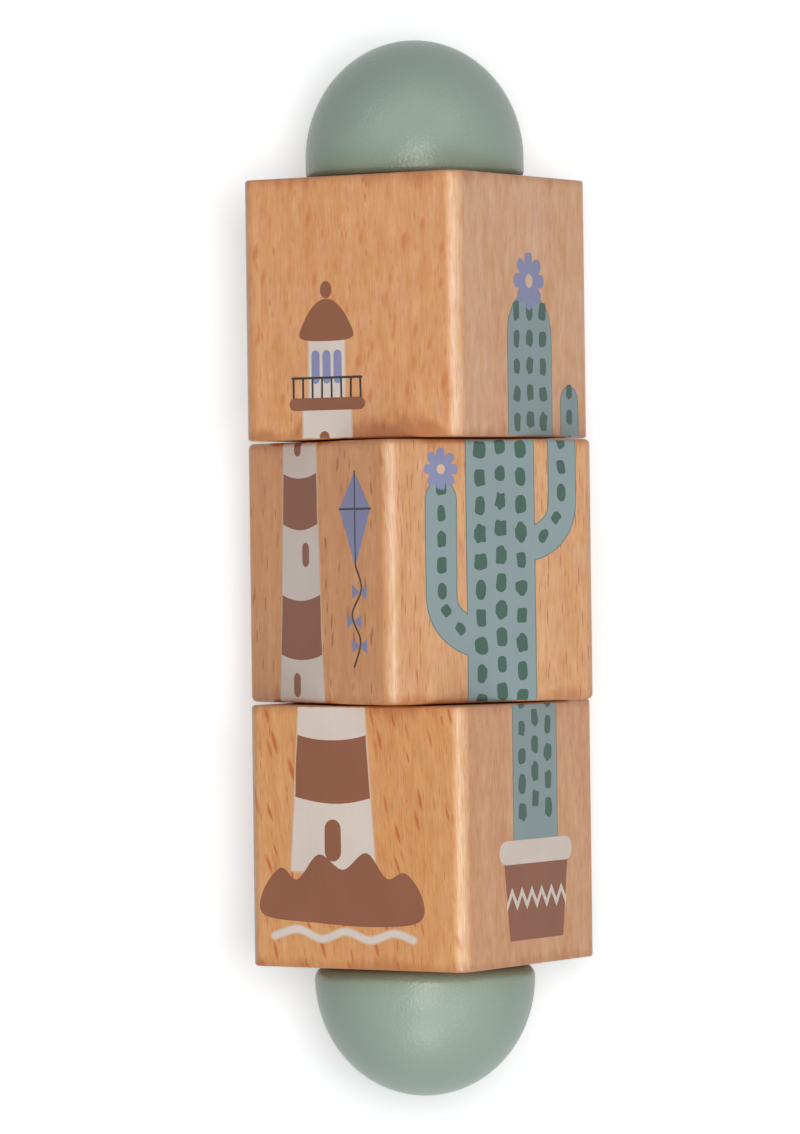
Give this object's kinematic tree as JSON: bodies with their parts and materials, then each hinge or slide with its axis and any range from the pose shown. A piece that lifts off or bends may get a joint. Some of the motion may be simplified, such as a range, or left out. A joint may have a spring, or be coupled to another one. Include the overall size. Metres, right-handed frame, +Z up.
{
  "type": "wooden spinning puzzle",
  "caption": "Square beech blocks with printed picture parts that turn separately on a hidden dowel, between painted half balls, so that a child can line up or mix the pictures.",
  "frame": {"origin": "on the surface that the toy lies on, under the middle of the whole toy", "axes": "+X along the dowel, towards the upper cap; +Z up; +Y across the toy"},
  "size_m": [0.1878, 0.0606, 0.0606],
  "materials": {
    "beech": "bare beech, sanded and lightly oiled, satin",
    "dowel_beech": "bare turned beech dowel",
    "sage_paint": "turned beech under satin sage-green paint",
    "printed_picture": "thin matt ink, printed on the beech"
  },
  "bodies": {
    "spindle": {"axle": "dowel_beech", "upper_cap": "sage_paint", "lower_cap": "sage_paint"},
    "upper_block": {"upper_block": "beech"},
    "middle_block": {"middle_block": "beech"},
    "lower_block": {"lower_block": "beech"}
  },
  "joints": [
    {"name": "upper_block_spin", "type": "hinge", "parent": "spindle", "child": "upper_block", "pos_m": [0, 0, 0.03032], "axis": [1, 0, 0], "continuous": true},
    {"name": "middle_block_spin", "type": "hinge", "parent": "spindle", "child": "middle_block", "pos_m": [0, 0, 0.03032], "axis": [1, 0, 0], "continuous": true},
    {"name": "lower_block_spin", "type": "hinge", "parent": "spindle", "child": "lower_block", "pos_m": [0, 0, 0.03032], "axis": [1, 0, 0], "continuous": true}
  ]
}
